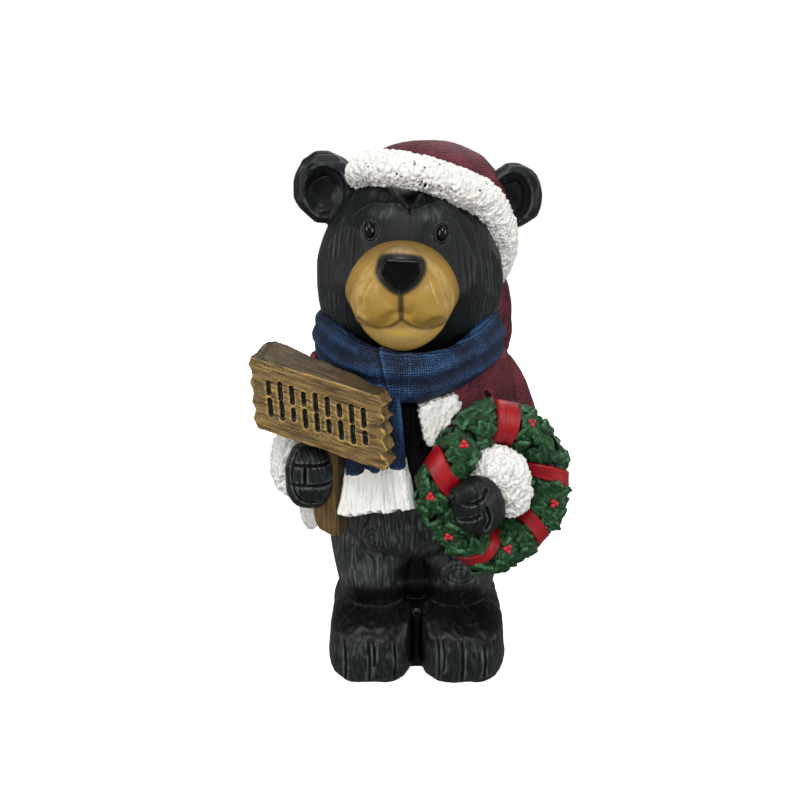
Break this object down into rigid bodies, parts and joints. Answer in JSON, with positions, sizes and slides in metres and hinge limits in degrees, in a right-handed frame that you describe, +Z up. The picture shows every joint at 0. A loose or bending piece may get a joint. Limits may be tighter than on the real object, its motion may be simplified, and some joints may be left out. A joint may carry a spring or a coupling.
{
  "type": "christmas bear statue",
  "caption": "Standing black bear cast in resin, in a Santa hat, scarf and fur-edged coat, holding a sign on a post and a holly wreath.",
  "frame": {"origin": "on the floor, on the flat underside between the feet, straight below the middle of the body", "axes": "+Z up, -Y the way the bear faces, +X to the right of someone who looks at its face"},
  "size_m": [0.2672, 0.2423, 0.4724],
  "materials": {
    "black_fur": "satin hand-painted resin with grey dry-brushing",
    "tan_muzzle": "satin hand-painted resin",
    "white_fur": "matt hand-painted resin carved as fur",
    "red_cloth": "matt hand-painted resin carved as woven cloth",
    "blue_cloth": "matt hand-painted resin carved as woven cloth",
    "sign_wood": "satin hand-painted resin carved as weathered board",
    "holly_leaf": "satin hand-painted resin",
    "ribbon_red": "satin hand-painted resin"
  },
  "bodies": {
    "root": {"bear_statue": "black_fur"}
  },
  "joints": []
}
